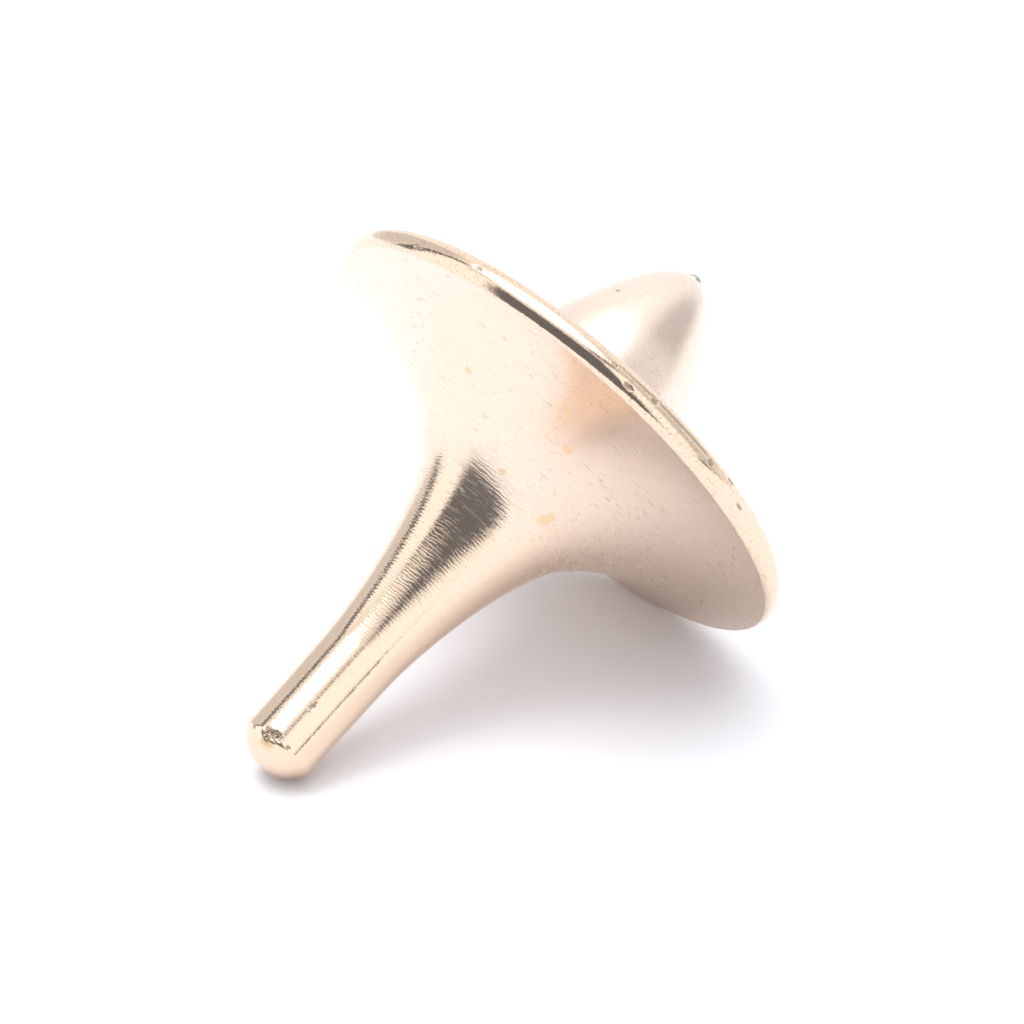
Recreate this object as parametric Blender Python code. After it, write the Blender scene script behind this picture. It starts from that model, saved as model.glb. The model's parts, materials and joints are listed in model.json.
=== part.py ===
"""Spinning top lying on its side, on the rim of its disc and the end of its stem.

Two pieces share one spin axis: the turned metal body (stem, flare, disc, rim and
bulb in one solid) and the steel ball seated in the nose of the bulb. Each piece is
a closed ring mesh turned from a profile. A profile is a list of (radius, height)
points in millimetres. Height runs along the spin axis from the middle of the rim,
positive towards the stem end.
"""

import math

import bmesh
import bpy
from mathutils import Matrix, Vector

MM = 0.001

# Disc and rim
RIM_RADIUS = 15.0
FACE_EDGE_RADIUS = 14.66
BACK_EDGE_RADIUS = 14.60
RIM_HALF_THICKNESS = 0.70

# Flare from the face of the disc down to the stem
FLARE_MIDDLE = (4.90, 5.50)
STEM_TOP = (2.20, 15.80)

# Stem, its narrow shoulder and its shallow rounded cap
STEM_END = (2.10, 22.38)
CAP_EDGE = (2.04, 22.50)
CAP_HEIGHT = 23.68

# Bulb behind the disc
WAIST = (5.30, -3.00)
BULB_MIDDLE = (4.07, -6.77)
NOSE_HEIGHT = -11.70

# Ball and the pocket it sits in
BALL_RADIUS = 0.50
BALL_HEIGHT = -11.58
SEAT_CLEARANCE = 0.02

# Mesh resolution
BODY_SEGMENTS = 64
BALL_SEGMENTS = 24

BODY_COLOR = (0.83, 0.66, 0.50, 1.0)
BALL_COLOR = (0.62, 0.62, 0.62, 1.0)


def clear_scene():
    """Removes every object that is already in the file."""
    for item in list(bpy.data.objects):
        bpy.data.objects.remove(item, do_unlink=True)


def bezier(start, start_handle, end_handle, end, count):
    """Points of a cubic curve after its start, down to and including its end."""
    points = []
    for step in range(1, count + 1):
        t = step / count
        s = 1.0 - t
        weights = (s * s * s, 3 * s * s * t, 3 * s * t * t, t * t * t)
        corners = (start, start_handle, end_handle, end)
        radius = sum(w * c[0] for w, c in zip(weights, corners))
        height = sum(w * c[1] for w, c in zip(weights, corners))
        points.append((radius, height))
    return points


def cap_profile(count):
    """The shallow cap of the stem and its shoulder, from the axis to the stem wall."""
    middle = (0.0, CAP_HEIGHT)
    return bezier(middle, (1.30, CAP_HEIGHT), (1.68, 22.98), CAP_EDGE, count) + [STEM_END]


def rim_profile(count):
    """The rounded edge of the disc, from below the face edge to the back edge."""
    points = []
    for step in range(1, count + 1):
        angle = math.pi * step / count
        edge_radius = FACE_EDGE_RADIUS if angle < 0.5 * math.pi else BACK_EDGE_RADIUS
        radius = edge_radius + (RIM_RADIUS - edge_radius) * math.sin(angle)
        points.append((radius, RIM_HALF_THICKNESS * math.cos(angle)))
    return points


def seat_profile(count):
    """The round pocket for the ball, from its lip in to just beside the axis."""
    seat_radius = BALL_RADIUS + SEAT_CLEARANCE
    points = []
    for step in range(count):
        angle = 0.5 * math.pi * (1.0 - step / count)
        radius = seat_radius * math.sin(angle)
        points.append((radius, BALL_HEIGHT + seat_radius * math.cos(angle)))
    return points


def body_profile():
    """The whole body from the stem end, over the disc and bulb, to the ball seat."""
    face_edge = (FACE_EDGE_RADIUS, RIM_HALF_THICKNESS)
    back_edge = (BACK_EDGE_RADIUS, -RIM_HALF_THICKNESS)
    nose = (BALL_RADIUS + 0.16, NOSE_HEIGHT + 0.10)
    profile = cap_profile(6)
    profile += bezier(STEM_END, (2.11, 20.2), (2.13, 17.9), STEM_TOP, 2)
    profile += bezier(STEM_TOP, (2.50, 11.50), (3.70, 7.00), FLARE_MIDDLE, 6)
    profile += bezier(FLARE_MIDDLE, (7.20, 2.60), (11.90, 1.00), face_edge, 9)
    profile += rim_profile(6)
    profile += bezier(back_edge, (8.00, -1.30), (5.75, -1.50), WAIST, 7)
    profile += bezier(WAIST, (4.95, -4.20), (4.60, -5.60), BULB_MIDDLE, 3)
    profile += bezier(BULB_MIDDLE, (2.90, -9.30), (1.70, -11.40), nose, 6)
    profile += seat_profile(4)
    return profile


def ball_profile(count):
    """Half a circle from beside the axis on the stem side to the tip side."""
    points = []
    for step in range(1, count):
        angle = math.pi * step / count
        points.append((BALL_RADIUS * math.sin(angle), BALL_RADIUS * math.cos(angle)))
    return points


def lying_tilt(profile):
    """Angle between spin axis and floor when rim and stem end both touch the floor."""
    stem_side = [p for p in profile if p[1] > FLARE_MIDDLE[1]]
    disc_side = [p for p in profile if abs(p[1]) <= RIM_HALF_THICKNESS]
    flat = math.cos(math.pi / BODY_SEGMENTS)
    tilt = 0.5
    for _ in range(20):
        def depth(point):
            return point[0] * flat * math.cos(tilt) + point[1] * math.sin(tilt)
        stem_touch = max(stem_side, key=depth)
        disc_touch = max(disc_side, key=depth)
        rise = (disc_touch[0] - stem_touch[0]) * flat
        tilt = math.atan2(rise, stem_touch[1] - disc_touch[1])
    return tilt


def turned_mesh(name, profile, cap_heights, segments, height_of_origin):
    """A closed solid of revolution round local Z, with one pole at each end."""
    mesh = bpy.data.meshes.new(name)
    builder = bmesh.new()
    start_angle = math.pi / segments
    rings = []
    for radius, height in profile:
        ring = []
        for index in range(segments):
            angle = start_angle + 2.0 * math.pi * index / segments
            x = radius * math.cos(angle)
            y = radius * math.sin(angle)
            ring.append(builder.verts.new((x * MM, y * MM, (height - height_of_origin) * MM)))
        rings.append(ring)
    first_pole = builder.verts.new((0.0, 0.0, (cap_heights[0] - height_of_origin) * MM))
    last_pole = builder.verts.new((0.0, 0.0, (cap_heights[1] - height_of_origin) * MM))
    for index in range(segments):
        after = (index + 1) % segments
        builder.faces.new((first_pole, rings[0][index], rings[0][after]))
        builder.faces.new((last_pole, rings[-1][after], rings[-1][index]))
        for upper, lower in zip(rings, rings[1:]):
            builder.faces.new((upper[index], lower[index], lower[after], upper[after]))
    builder.to_mesh(mesh)
    builder.free()
    return mesh


def metal(name, color, roughness):
    """A plain metal with a Principled surface."""
    material = bpy.data.materials.new(name)
    material.use_nodes = True
    shader = material.node_tree.nodes["Principled BSDF"]
    shader.inputs["Base Color"].default_value = color
    shader.inputs["Roughness"].default_value = roughness
    shader.inputs["Metallic"].default_value = 1.0
    material.diffuse_color = color
    return material


def place(mesh, material, parent, height):
    """Makes the mesh an object on the spin axis and shades its gentle edges smooth."""
    item = bpy.data.objects.new(mesh.name, mesh)
    bpy.context.scene.collection.objects.link(item)
    mesh.materials.append(material)
    mesh.shade_smooth()
    mesh.set_sharp_from_angle(angle=math.radians(35.0))
    item.parent = parent
    item.location = (0.0, 0.0, height * MM)
    return item


def main():
    clear_scene()
    profile = body_profile()
    seat_bottom = BALL_HEIGHT + BALL_RADIUS + SEAT_CLEARANCE
    body_mesh = turned_mesh("body", profile, (CAP_HEIGHT, seat_bottom), BODY_SEGMENTS, BALL_HEIGHT)
    ball_poles = (BALL_RADIUS, -BALL_RADIUS)
    ball_mesh = turned_mesh("tip_ball", ball_profile(12), ball_poles, BALL_SEGMENTS, 0.0)

    spin_axis = bpy.data.objects.new("spin_axis", None)
    bpy.context.scene.collection.objects.link(spin_axis)
    place(body_mesh, metal("gold_metal", BODY_COLOR, 0.28), spin_axis, BALL_HEIGHT)
    place(ball_mesh, metal("steel", BALL_COLOR, 0.12), spin_axis, BALL_HEIGHT)

    # Local +Z of the axis points along -Y and down to the floor at the stem end.
    tilt = lying_tilt(profile)
    rotation = Matrix.Rotation(math.pi / 2 + tilt, 4, "X")
    spin_axis.matrix_world = rotation
    bpy.context.view_layer.update()

    corners = []
    for item in spin_axis.children:
        corners += [item.matrix_world @ vertex.co for vertex in item.data.vertices]
    low = Vector([min(corner[i] for corner in corners) for i in range(3)])
    high = Vector([max(corner[i] for corner in corners) for i in range(3)])
    middle = (low + high) / 2.0
    spin_axis.matrix_world = Matrix.Translation((-middle.x, -middle.y, -low.z)) @ rotation
    bpy.context.view_layer.update()


main()
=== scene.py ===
"""Looks of the spinning top: fine turned meshes, champagne gold metal, studio light."""

import json
import math

import bmesh
import bpy
from mathutils import Matrix, Vector, noise


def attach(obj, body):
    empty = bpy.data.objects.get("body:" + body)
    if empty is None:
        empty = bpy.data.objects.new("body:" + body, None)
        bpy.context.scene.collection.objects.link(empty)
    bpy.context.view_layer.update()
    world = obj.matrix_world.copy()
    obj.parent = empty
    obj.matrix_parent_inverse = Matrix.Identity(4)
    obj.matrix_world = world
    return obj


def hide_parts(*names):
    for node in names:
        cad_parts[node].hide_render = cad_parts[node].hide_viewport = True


MM = 0.001

# ---------------------------------------------------------------- sizes

# Places on the turned outline, in mm: away from the spin axis, and along it from the
# rim's middle plane, with the stem end upwards
CAP_HEIGHT = 23.66
CAP_EDGE = (2.04, 22.50)
STEM_END = (2.10, 22.38)
STEM_TOP = (2.20, 15.80)
FLARE_MIDDLE = (4.90, 5.50)
FACE_EDGE = (14.66, 0.70)
RIM_RADIUS = 15.0
BACK_EDGE = (14.60, -0.70)
WAIST = (5.30, -3.00)
BULB_MIDDLE = (4.07, -6.77)
NOSE_LIP = (0.66, -11.60)
BALL_HEIGHT = -11.58
BALL_RADIUS = 0.499
SEAT_RADIUS = 0.52

# The lip of the ball's seat: how far outside the seat and beyond the nose it stands, in mm
LIP_OUT = 0.05
LIP_BEYOND = 0.02

# Where the rim's rounded band begins, in degrees: the larger, the crisper its edges
RIM_EDGE_ANGLE = 42.0

# The outline's cubic curves: first handle, second handle, end, number of steps
STEM_AND_FACE = (
    ((1.30, CAP_HEIGHT), (1.68, 22.98), CAP_EDGE, 26),
    ((2.06, 22.46), (2.08, 22.42), STEM_END, 3),
    ((2.11, 20.2), (2.13, 17.9), STEM_TOP, 60),
    ((2.50, 11.50), (3.70, 7.00), FLARE_MIDDLE, 56),
    ((7.20, 2.60), (11.90, 1.00), FACE_EDGE, 60),
)
BACK_AND_BULB = (
    ((8.00, -1.30), (5.75, -1.50), WAIST, 36),
    ((4.95, -4.20), (4.60, -5.60), BULB_MIDDLE, 18),
    ((2.90, -9.30), (1.70, -11.40), NOSE_LIP, 30),
)
RIM_STEPS = 30
SEAT_STEPS = 9
BALL_STEPS = 40
BODY_SEGMENTS = 720
BALL_SEGMENTS = 96

# Angle from the ball's pole to its first ring, in degrees
BALL_POLE_ANGLE = 4.5

# Edges sharper than this, in degrees, are shaded sharp
SHARP_ANGLE = 32.0

# Keeps the round outline inside the straight facets of the CAD solid
FACET_SCALE = 0.9974

# ---------------------------------------------------------------- wear

# Nicks on the body: place along the outline in mm, angle round the axis in degrees,
# half length along and around in mm, depth in mm (below zero for a raised burr).
# The nicks are dented into the mesh, and the same spots are also painted darker as shade in the
# nicks.
PITS = (
    (32.07, 48.5, 0.14, 0.22, -0.035),
    (31.69, 44.0, 0.16, 0.30, 0.050),
    (32.12, 38.5, 0.16, 0.24, 0.045),
    (32.07, 22.5, 0.18, 0.26, 0.040),
    (31.53, 97.5, 0.10, 0.35, 0.030),
    (31.90, 81.5, 0.12, 0.25, 0.030),
    (32.37, 16.0, 0.10, 0.30, 0.030),
    (31.85, 11.0, 0.10, 0.30, 0.025),
    (31.70, 205.0, 0.15, 0.30, 0.040),
    (32.00, 287.0, 0.14, 0.26, 0.035),
    (2.66, 75.0, 0.28, 0.34, 0.060),
    (2.72, 61.0, 0.30, 0.40, 0.080),
    (2.55, 69.0, 0.26, 0.30, 0.050),
    (2.75, 37.0, 0.12, 0.15, 0.030),
    (2.50, 100.0, 0.15, 0.12, 0.030),
    (5.09, 50.5, 0.26, 0.17, 0.050),
    (47.41, 94.5, 0.16, 0.14, 0.035),
)

# How uneven the nicks are, and how many bumps of it there are in a mm
PIT_UNEVENNESS = 1.2
PIT_BUMPS_PER_MM = 6.0

# Honey-coloured stains: the same four values as a nick's first four
STAINS = (
    (20.50, 20.0, 0.62, 0.36),
    (26.85, 50.0, 0.36, 0.26),
    (24.60, 42.0, 0.28, 0.34),
    (24.85, 87.0, 0.22, 0.30),
    (20.70, 57.0, 0.18, 0.24),
    (28.40, 73.0, 0.16, 0.20),
    (28.80, 64.5, 0.18, 0.16),
    (30.55, 88.5, 0.14, 0.22),
    (25.40, 208.0, 0.40, 0.28),
    (2.15, 66.0, 0.42, 0.50),
    (37.50, 160.0, 0.40, 0.30),
)

# How ragged the edges of the painted spots are
SPOT_RAGGEDNESS = 1.3

# ---------------------------------------------------------------- metal

# Distances between which one finish gives way to the next, in mm: out from the axis for
# the rim and the smoother outer face, along it for the rest
RIM_BEGINS = (14.58, 14.63)
OUTER_FACE = (8.0, 12.5)
SATIN_ENDS = (2.5, 9.0)
RIBS_BEGIN = (3.2, 6.0)
RIBS_FADE = (11.0, 16.0)
BACK_BEGINS = (-0.6, -1.6)

POLISHED = ((0.80, 0.620, 0.470, 1.0), (0.85, 0.675, 0.525, 1.0))
BRUSHED = ((0.83, 0.665, 0.535, 1.0), (0.87, 0.715, 0.595, 1.0))
BACK_TINT = (0.87, 0.77, 0.71, 1.0)
GRAIN_TINT = (0.62, 0.46, 0.34, 1.0)
TICK_TINT = (0.45, 0.32, 0.22, 1.0)
HAIR_TINT = (0.40, 0.29, 0.20, 1.0)
SCUFF_TINT = (0.52, 0.37, 0.25, 1.0)
SPECK_TINT = (0.50, 0.33, 0.20, 1.0)
STAIN_TINT = (0.80, 0.50, 0.20, 1.0)
# Painted shade: the colour the nicks are darkened towards, standing in for the shade inside them
PIT_PAINTED_SHADE = (0.30, 0.22, 0.17, 1.0)
STEEL = ((0.44, 0.435, 0.42, 1.0), (0.58, 0.57, 0.55, 1.0))

# Roughness of the polished stem and rim, before anything is added to it
POLISH_ROUGHNESS = 0.085

# How close together the tool ribs are, in radians a mm, and how far they wander, in radians
RIB_RATE = 33.0
RIB_WANDER = 12.0

# Height of a relief of 1, in metres
RELIEF_HEIGHT = 0.000013

# ---------------------------------------------------------------- studio

CAMERA_PLACE = (0.08713, -0.07596, 0.07724)
CAMERA_AZIMUTH = 48.2
CAMERA_ELEVATION = 30.06
CAMERA_LENS = 88.9
CAMERA_SENSOR = 36.0
CAMERA_CLIP = (0.001, 20.0)

PAPER_COLOR = (0.92, 0.93, 0.975, 1.0)
PAPER_ROUGHNESS = 0.9
PAPER_SPECULAR = 0.1
FLOOR_RADIUS = 3.0
FLOOR_SEGMENTS = 96
FLOOR_DROP = 0.00002

BACKDROP_COLOR = (1.0, 1.0, 1.0, 1.0)
BACKDROP_STRENGTH = 1.1

# Brightness of the tent where no panel is, and what is added to its red, green and blue
TENT_BASE = 1.10
TENT_TINT = (0.0, 0.008, 0.030)

# Panels of the tent: centre azimuth, half width, lowest and highest elevation and edge
# softness, all in degrees, and brightness. Azimuth 0 is -Y and 90 is +X.
TENT = (
    (-150.0, 36.0, -6.0, 76.0, 8.0, 1.22),   # bright back wall
    (156.0, 12.0, 8.0, 44.0, 5.0, 0.62),     # dim gap at the back
    (116.0, 16.0, 0.0, 55.0, 4.0, 0.82),     # dim panel at the back right
    (98.0, 8.0, -3.0, 4.0, 1.5, 0.30),       # dark strip low on the right
    (-92.0, 19.0, 4.0, 52.0, 5.0, 0.85),     # dim panel on the left
    (-65.0, 5.0, 2.0, 54.0, 2.5, 0.22),      # dark gap on the left
    (-41.0, 17.0, -3.0, 48.0, 4.0, 1.42),    # bright wall at the front left
    (17.0, 39.0, -10.0, 47.0, 5.0, 0.20),    # open, dark front
    (79.0, 15.0, 2.0, 48.0, 2.5, 1.42),      # bright wall on the right
    (77.0, 20.0, 50.0, 58.0, 2.0, 0.40),     # dark slit above it
    (0.0, 181.0, 60.0, 95.0, 2.5, 2.40),     # roof, all the way round
    (-50.0, 46.0, 63.0, 87.0, 3.0, 6.50),    # lamp over the front left
)


# ---------------------------------------------------------------- turned meshes

def bezier(start, start_handle, end_handle, end, count):
    """Points of a cubic curve after its start, down to and including its end."""
    points = []
    for step in range(1, count + 1):
        t = step / count
        s = 1.0 - t
        weights = (s * s * s, 3 * s * s * t, 3 * s * t * t, t * t * t)
        corners = (start, start_handle, end_handle, end)
        radius = sum(w * c[0] for w, c in zip(weights, corners))
        height = sum(w * c[1] for w, c in zip(weights, corners))
        points.append((radius, height))
    return points


def chain(start, curves):
    """Points of cubic curves that each begin where the last one ends."""
    points = []
    for start_handle, end_handle, end, count in curves:
        points += bezier(start, start_handle, end_handle, end, count)
        start = end
    return points


def rim_profile():
    """The rounded band of the rim between the two edges of the disc."""
    points = []
    first = math.radians(RIM_EDGE_ANGLE)
    for step in range(1, RIM_STEPS + 1):
        angle = first + (math.pi - 2.0 * first) * step / RIM_STEPS
        edge = FACE_EDGE if angle < 0.5 * math.pi else BACK_EDGE
        out = (math.sin(angle) - math.sin(first)) / (1.0 - math.sin(first))
        radius = edge[0] + (RIM_RADIUS - edge[0]) * out
        points.append((radius, FACE_EDGE[1] * math.cos(angle) / math.cos(first)))
    return points


def seat_profile():
    """The ball's seat in the nose, from its mouth to just short of its bottom."""
    points = []
    for step in range(SEAT_STEPS):
        angle = 0.5 * math.pi * (1.0 - step / SEAT_STEPS)
        height = BALL_HEIGHT + SEAT_RADIUS * math.cos(angle)
        points.append((SEAT_RADIUS * math.sin(angle), height))
    return points


def body_profile():
    """The body's outline from the stem end to the bottom of the ball seat."""
    profile = chain((0.0, CAP_HEIGHT), STEM_AND_FACE)
    profile += rim_profile()
    profile += chain(BACK_EDGE, BACK_AND_BULB)
    profile += [(SEAT_RADIUS + LIP_OUT, NOSE_LIP[1] - LIP_BEYOND)]
    profile += seat_profile()
    return profile


def ball_profile():
    """The ball's outline from pole to pole, with the ball's centre as its origin."""
    points = []
    for step in range(BALL_STEPS + 1):
        span = 180.0 - 2.0 * BALL_POLE_ANGLE
        angle = math.radians(BALL_POLE_ANGLE + span * step / BALL_STEPS)
        points.append((BALL_RADIUS * math.sin(angle), BALL_RADIUS * math.cos(angle)))
    return points


def pit_depth(pit, along, angle, radius):
    """How deep a small round-bottomed nick is at a place on the outline."""
    pit_along, pit_angle, half_along, half_around, depth = pit
    turn_away = math.remainder(angle - math.radians(pit_angle), 2.0 * math.pi)
    around = turn_away * radius
    away = math.hypot((along - pit_along) / half_along, around / half_around)
    if away > 1.0:
        return 0.0
    uneven = noise.noise(Vector((along * PIT_BUMPS_PER_MM, around * PIT_BUMPS_PER_MM, pit_angle)))
    return depth * (1.0 - away * away) * (1.0 + PIT_UNEVENNESS * uneven)


def turned(name, profile, poles, segments, matrix, pits=()):
    """A closed solid of revolution round local Z, with a pole at each end.

    Each point keeps its place along the outline and its own place in the solid, both
    in mm, for the materials. The mesh itself is moved to where the matrix puts it.
    """
    mesh = bpy.data.meshes.new(name)
    builder = bmesh.new()
    rings = []
    run = [profile[0][0]]
    for near, far in zip(profile, profile[1:]):
        run.append(run[-1] + math.dist(near, far))
    for row, (radius, height) in enumerate(profile):
        before, after = profile[max(row - 1, 0)], profile[min(row + 1, len(profile) - 1)]
        tangent = (after[0] - before[0], after[1] - before[1])
        outward = Vector((-tangent[1], tangent[0])).normalized()
        close_pits = [pit for pit in pits if abs(run[row] - pit[0]) < pit[2]]
        ring = []
        for index in range(segments):
            angle = 2.0 * math.pi * index / segments
            depth = sum(pit_depth(pit, run[row], angle, radius) for pit in close_pits)
            wide = (radius - outward.x * depth) * FACET_SCALE * MM
            high = (height - outward.y * depth) * MM
            place = (wide * math.cos(angle), wide * math.sin(angle), high)
            ring.append(builder.verts.new(place))
        rings.append(ring)
    first_pole = builder.verts.new((0.0, 0.0, poles[0] * MM))
    last_pole = builder.verts.new((0.0, 0.0, poles[1] * MM))
    for index in range(segments):
        after = (index + 1) % segments
        builder.faces.new((first_pole, rings[0][index], rings[0][after]))
        builder.faces.new((last_pole, rings[-1][after], rings[-1][index]))
        for upper, lower in zip(rings, rings[1:]):
            builder.faces.new((upper[index], lower[index], lower[after], upper[after]))
    builder.to_mesh(mesh)
    builder.free()
    along = mesh.attributes.new("outline_mm", "FLOAT", "POINT")
    lengths = [length for length in run for _ in range(segments)] + [run[0], run[-1]]
    along.data.foreach_set("value", lengths)
    places = mesh.attributes.new("turned_place", "FLOAT_VECTOR", "POINT")
    places.data.foreach_set("vector", [c / MM for vertex in mesh.vertices for c in vertex.co])
    mesh.transform(matrix)
    mesh.shade_smooth()
    mesh.set_sharp_from_angle(angle=math.radians(SHARP_ANGLE))
    item = bpy.data.objects.new(name, mesh)
    bpy.context.scene.collection.objects.link(item)
    return item


# ---------------------------------------------------------------- node helpers

class Nodes:
    """Short ways to add and join shader nodes in one tree."""

    def __init__(self, tree):
        self.tree = tree
        tree.nodes.clear()

    def add(self, kind, **settings):
        node = self.tree.nodes.new(kind)
        for key, value in settings.items():
            setattr(node, key, value)
        return node

    def put(self, socket, value):
        """Joins another socket to this one, or sets a plain value."""
        if isinstance(value, bpy.types.NodeSocket):
            self.tree.links.new(value, socket)
        else:
            socket.default_value = value

    def math(self, operation, *values):
        node = self.add("ShaderNodeMath", operation=operation)
        for socket, value in zip(node.inputs, values):
            self.put(socket, value)
        return node.outputs[0]

    def times(self, first, second):
        return self.math("MULTIPLY", first, second)

    def total(self, base, *terms):
        """The base plus each value times its strength."""
        for value, strength in terms:
            base = self.math("ADD", base, self.times(value, strength))
        return base

    def length(self, x, y):
        return self.math("SQRT", self.math("ADD", self.times(x, x), self.times(y, y)))

    def ramp(self, value, low, high, low_out=0.0, high_out=1.0):
        """Goes smoothly from one output to the other between low and high."""
        node = self.add("ShaderNodeMapRange", interpolation_type="SMOOTHSTEP")
        for name, setting in (("Value", value), ("From Min", low), ("From Max", high),
                              ("To Min", low_out), ("To Max", high_out)):
            self.put(node.inputs[name], setting)
        return node.outputs[0]

    def vector(self, x, y, z):
        node = self.add("ShaderNodeCombineXYZ")
        for socket, value in zip(node.inputs, (x, y, z)):
            self.put(socket, value)
        return node.outputs[0]

    def split(self, vector):
        node = self.add("ShaderNodeSeparateXYZ")
        self.put(node.inputs[0], vector)
        return node.outputs

    def noise(self, vector, scale, detail=2.0, roughness=0.5):
        node = self.add("ShaderNodeTexNoise")
        for name, setting in (("Vector", vector), ("Scale", scale), ("Detail", detail),
                              ("Roughness", roughness)):
            self.put(node.inputs[name], setting)
        return node.outputs["Fac"]

    def mix(self, factor, first, second):
        node = self.add("ShaderNodeMix", data_type="RGBA", clamp_factor=True)
        for socket, value in ((node.inputs[0], factor), (node.inputs[6], first),
                              (node.inputs[7], second)):
            self.put(socket, value)
        return node.outputs[2]


def new_material(name, **settings):
    """A material, its nodes, and its one Principled shader with some inputs set."""
    material = bpy.data.materials.new(name)
    material.use_nodes = True
    n = Nodes(material.node_tree)
    out = n.add("ShaderNodeOutputMaterial")
    shader = n.add("ShaderNodeBsdfPrincipled")
    n.put(out.inputs[0], shader.outputs[0])
    for key, value in settings.items():
        shader.inputs[key].default_value = value
    return material, n, shader


# ---------------------------------------------------------------- metals

def gold_metal():
    """Pale champagne gold: satin rings on disc and bulb, polish on rim and stem, painted shade in
    the nicks.
    """
    material, n, shader = new_material("champagne_gold", Metallic=1.0)

    place = n.add("ShaderNodeAttribute", attribute_name="turned_place").outputs["Vector"]
    outline = n.add("ShaderNodeAttribute", attribute_name="outline_mm").outputs["Fac"]
    x, y, height = n.split(place)
    radius = n.length(x, y)
    safe_radius = n.math("MAXIMUM", radius, 0.01)
    around_x = n.math("DIVIDE", x, safe_radius)
    around_y = n.math("DIVIDE", y, safe_radius)
    turn_angle = n.math("ARCTAN2", y, x)

    def rings(turns, per_mm, detail=2.0, roughness=0.5):
        """Noise drawn out round the axis: turns sets its length, per_mm its fineness."""
        drawn_out = n.vector(n.times(around_x, turns), n.times(around_y, turns),
                             n.times(outline, per_mm))
        return n.noise(drawn_out, 1.0, detail, roughness)

    broad = n.noise(place, scale=0.28, detail=3.0, roughness=0.55)
    blotch = n.noise(place, scale=1.6, detail=3.0, roughness=0.6)
    peel = n.noise(place, scale=6.5)
    grain = n.noise(place, scale=16.0, roughness=0.6)
    wander = rings(turns=5.0, per_mm=3.2, roughness=0.55)
    ticks = rings(turns=15.0, per_mm=6.5, roughness=0.6)
    hairs = rings(turns=9.0, per_mm=15.0, roughness=0.6)
    gouges = rings(turns=4.0, per_mm=7.5, detail=1.0)
    ripple = n.math("SINE", n.total(n.times(outline, RIB_RATE), (wander, RIB_WANDER)))

    def spot(along, angle, half_along, half_around):
        """A soft-edged, uneven oval at one place on the outline."""
        off = n.math("DIVIDE", n.math("SUBTRACT", outline, along), half_along)
        turn_away = n.math("SUBTRACT", turn_angle, math.radians(angle))
        turn_away = n.math("WRAP", turn_away, math.pi, -math.pi)
        side_off = n.math("DIVIDE", n.times(turn_away, radius), half_around)
        uneven = n.math("SUBTRACT", peel, 0.5)
        ragged = n.total(n.length(off, side_off), (uneven, SPOT_RAGGEDNESS))
        return n.ramp(ragged, 0.70, 1.05, 1.0, 0.0)

    def spots(rows):
        """All the spots of a table as one mask."""
        mask = 0.0
        for row in rows:
            mask = n.math("MAXIMUM", mask, spot(*row[:4]))
        return mask

    on_rim = n.ramp(radius, *RIM_BEGINS)
    toward_stem = n.ramp(height, *SATIN_ENDS)
    satin = n.math("SUBTRACT", 1.0, n.math("MAXIMUM", on_rim, toward_stem))
    ribbed = n.times(n.ramp(height, *RIBS_BEGIN), n.ramp(height, *RIBS_FADE, 1.0, 0.25))
    tick_marks = n.times(n.ramp(ticks, low=0.60, high=0.68), satin)
    dark_hairs = n.times(n.ramp(hairs, low=0.62, high=0.74), ribbed)
    grooves = n.times(n.ramp(gouges, low=0.56, high=0.62), ribbed)
    scuffs = n.times(n.ramp(peel, low=0.52, high=0.66), on_rim)
    specks = n.times(n.ramp(grain, low=0.70, high=0.76), n.ramp(blotch, low=0.40, high=0.62))
    stains = spots(STAINS)
    pits = spots(PITS)

    color = n.mix(satin, n.mix(broad, *POLISHED), n.mix(broad, *BRUSHED))
    color = n.mix(n.ramp(height, *BACK_BEGINS, 0.0, 0.35), color, BACK_TINT)
    color = n.mix(n.ramp(grain, 0.35, 0.70, 0.0, 0.22), color, GRAIN_TINT)
    for mask, strength, tint in (
        (tick_marks, 0.30, TICK_TINT),
        (dark_hairs, 0.55, HAIR_TINT),
        (scuffs, 0.45, SCUFF_TINT),
        (specks, 0.45, SPECK_TINT),
        (stains, 0.42, STAIN_TINT),
        # painted shade inside the nicks; their dents, roughness and bumps are real
        (pits, 0.70, PIT_PAINTED_SHADE),
    ):
        color = n.mix(n.times(mask, strength), color, tint)
    n.put(shader.inputs["Base Color"], color)

    roughness = n.total(
        POLISH_ROUGHNESS,
        (satin, 0.175),
        (n.ramp(radius, *OUTER_FACE), -0.055),
        (n.math("SUBTRACT", blotch, 0.5), 0.08),
        (tick_marks, 0.08),
        (n.math("ADD", grooves, scuffs), 0.16),
        (n.math("MAXIMUM", stains, pits), 0.14),
    )
    n.put(shader.inputs["Roughness"], roughness)

    tooled = n.total(0.10, (ribbed, 0.90))
    relief = n.total(
        0.0,
        (n.times(ripple, tooled), 0.13),
        (n.times(hairs, tooled), 0.35),
        (dark_hairs, -0.22),
        (tick_marks, -0.10),
        (peel, 0.30),
        (n.times(pits, grain), -2.0),
    )
    bump = n.add("ShaderNodeBump")
    bump.inputs["Strength"].default_value = 1.0
    bump.inputs["Distance"].default_value = RELIEF_HEIGHT
    n.put(bump.inputs["Height"], relief)
    n.put(shader.inputs["Normal"], bump.outputs[0])
    return material


def ball_steel():
    """Polished bearing steel with faint scuffs."""
    material, n, shader = new_material("bearing_steel", Metallic=1.0)
    place = n.add("ShaderNodeAttribute", attribute_name="turned_place").outputs["Vector"]
    scuff = n.noise(place, scale=9.0, detail=4.0, roughness=0.6)
    n.put(shader.inputs["Base Color"], n.mix(scuff, *STEEL))
    n.put(shader.inputs["Roughness"], n.ramp(scuff, 0.3, 0.8, 0.06, 0.22))
    return material


# ---------------------------------------------------------------- studio

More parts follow.
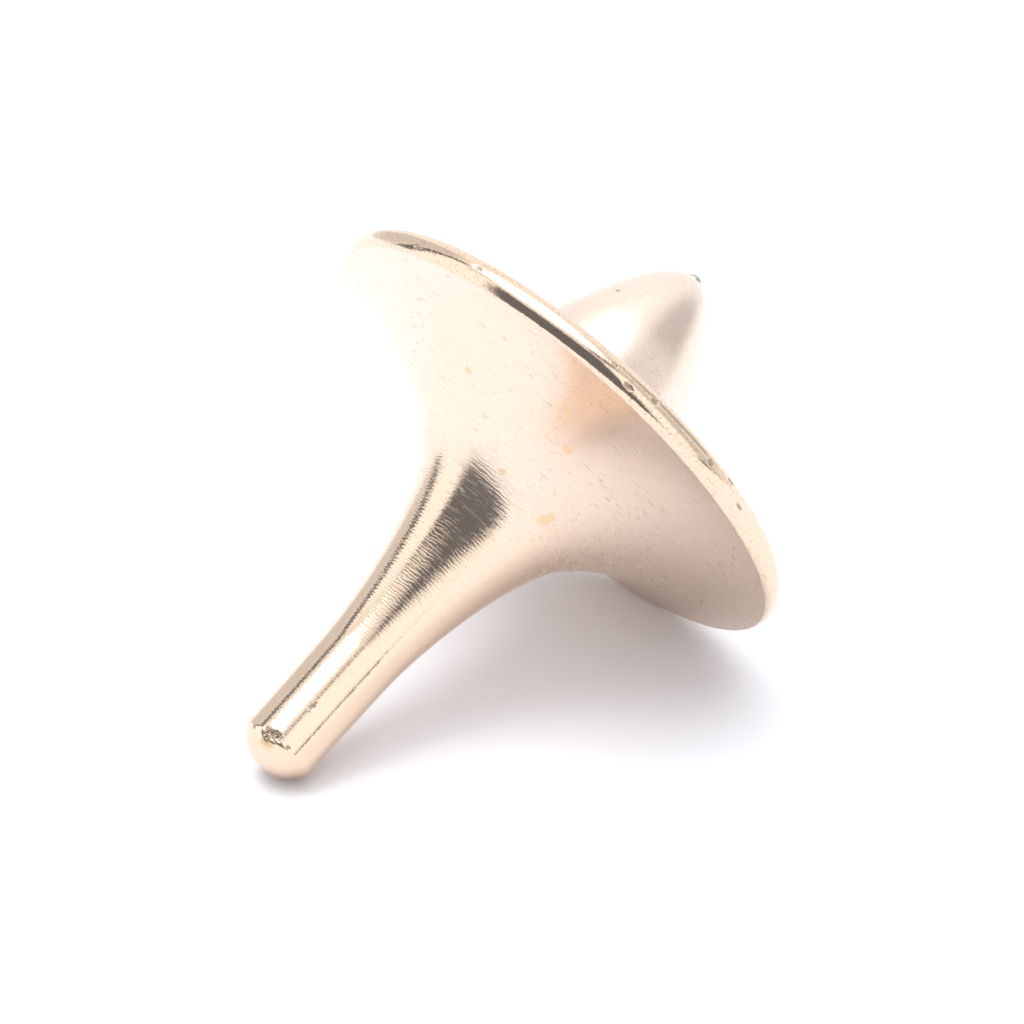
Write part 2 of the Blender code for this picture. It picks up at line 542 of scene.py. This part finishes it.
def paper_floor():
    """A wide round sheet of white paper, just below the top."""
    mesh = bpy.data.meshes.new("floor")
    builder = bmesh.new()
    bmesh.ops.create_circle(builder, cap_ends=True, radius=FLOOR_RADIUS, segments=FLOOR_SEGMENTS)
    builder.to_mesh(mesh)
    builder.free()
    item = bpy.data.objects.new("floor", mesh)
    item.location = (0.0, 0.0, -FLOOR_DROP)
    bpy.context.scene.collection.objects.link(item)
    settings = {"Base Color": PAPER_COLOR, "Roughness": PAPER_ROUGHNESS,
                "Specular IOR Level": PAPER_SPECULAR}
    mesh.materials.append(new_material("paper", **settings)[0])


def surround():
    """A white tent with an open front, seen by the metal and the floor.

    The camera itself sees a plain white backdrop.
    """
    world = bpy.data.worlds.new("studio")
    bpy.context.scene.world = world
    world.use_nodes = True
    n = Nodes(world.node_tree)
    out = n.add("ShaderNodeOutputWorld")
    x, y, z = n.split(n.add("ShaderNodeTexCoord").outputs["Generated"])
    azimuth = n.math("DEGREES", n.math("ARCTAN2", x, n.times(y, -1.0)))
    elevation = n.math("DEGREES", n.math("ARCSINE", z))
    level = TENT_BASE
    for centre, half, lowest, highest, soft, bright in TENT:
        away = n.math("WRAP", n.math("SUBTRACT", azimuth, centre), 180.0, -180.0)
        across = n.ramp(n.math("ABSOLUTE", away), half - soft, half + soft, 1.0, 0.0)
        over = n.ramp(elevation, lowest - soft, lowest + soft)
        under = n.ramp(elevation, highest - soft, highest + soft, 1.0, 0.0)
        mask = n.times(n.times(across, over), under)
        level = n.total(level, (mask, n.math("SUBTRACT", bright, level)))
    shade = n.add("ShaderNodeCombineColor")
    for socket, tint in zip(shade.inputs[:3], TENT_TINT):
        n.put(socket, n.math("ADD", level, tint))
    tent = n.add("ShaderNodeBackground")
    n.put(tent.inputs["Color"], shade.outputs[0])
    backdrop = n.add("ShaderNodeBackground")
    backdrop.inputs["Color"].default_value = BACKDROP_COLOR
    backdrop.inputs["Strength"].default_value = BACKDROP_STRENGTH
    mix = n.add("ShaderNodeMixShader")
    n.put(mix.inputs[0], n.add("ShaderNodeLightPath").outputs["Is Camera Ray"])
    n.put(mix.inputs[1], tent.outputs[0])
    n.put(mix.inputs[2], backdrop.outputs[0])
    n.put(out.inputs[0], mix.outputs[0])


def main_camera():
    """Looks down at the top from the front right."""
    data = bpy.data.cameras.new("camera")
    data.sensor_width = CAMERA_SENSOR
    data.lens = CAMERA_LENS
    data.clip_start, data.clip_end = CAMERA_CLIP
    item = bpy.data.objects.new("camera", data)
    item.location = CAMERA_PLACE
    a, e = math.radians(CAMERA_AZIMUTH), math.radians(CAMERA_ELEVATION)
    back = Vector((math.sin(a) * math.cos(e), -math.cos(a) * math.cos(e), math.sin(e)))
    item.rotation_mode = "QUATERNION"
    item.rotation_quaternion = (-back).to_track_quat("-Z", "Y")
    bpy.context.scene.collection.objects.link(item)
    bpy.context.scene.camera = item


# ---------------------------------------------------------------- build

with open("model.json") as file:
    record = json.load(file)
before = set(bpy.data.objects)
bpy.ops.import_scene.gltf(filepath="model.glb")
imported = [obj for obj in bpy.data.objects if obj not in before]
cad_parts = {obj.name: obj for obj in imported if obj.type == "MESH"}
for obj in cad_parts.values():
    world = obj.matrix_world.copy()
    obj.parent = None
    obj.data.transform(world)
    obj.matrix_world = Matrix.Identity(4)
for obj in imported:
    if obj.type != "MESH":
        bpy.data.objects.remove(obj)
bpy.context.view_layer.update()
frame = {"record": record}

# The spin joint gives the axis, with the stem end ahead, and the ball's centre
spin = frame["record"]["behaviour"]["joints"][0]
axis = Vector(spin["axis"]).normalized()
side = Vector((1.0, 0.0, 0.0))
turn = Matrix((side, axis.cross(side), axis)).transposed().to_4x4()
ball_centre = Vector(spin["pos_m"])
rim_middle = ball_centre - axis * BALL_HEIGHT * MM

main_camera()

body = turned("turned_body", body_profile(), (CAP_HEIGHT, BALL_HEIGHT + SEAT_RADIUS),
              BODY_SEGMENTS, Matrix.Translation(rim_middle) @ turn, PITS)
body.data.materials.append(gold_metal())
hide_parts("body")
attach(body, "top")

ball = turned("steel_ball", ball_profile(), (BALL_RADIUS, -BALL_RADIUS), BALL_SEGMENTS,
              Matrix.Translation(ball_centre) @ turn)
ball.data.materials.append(ball_steel())
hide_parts("tip_ball")
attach(ball, "tip")

paper_floor()
surround()
bpy.context.scene.view_settings.view_transform = "Standard"
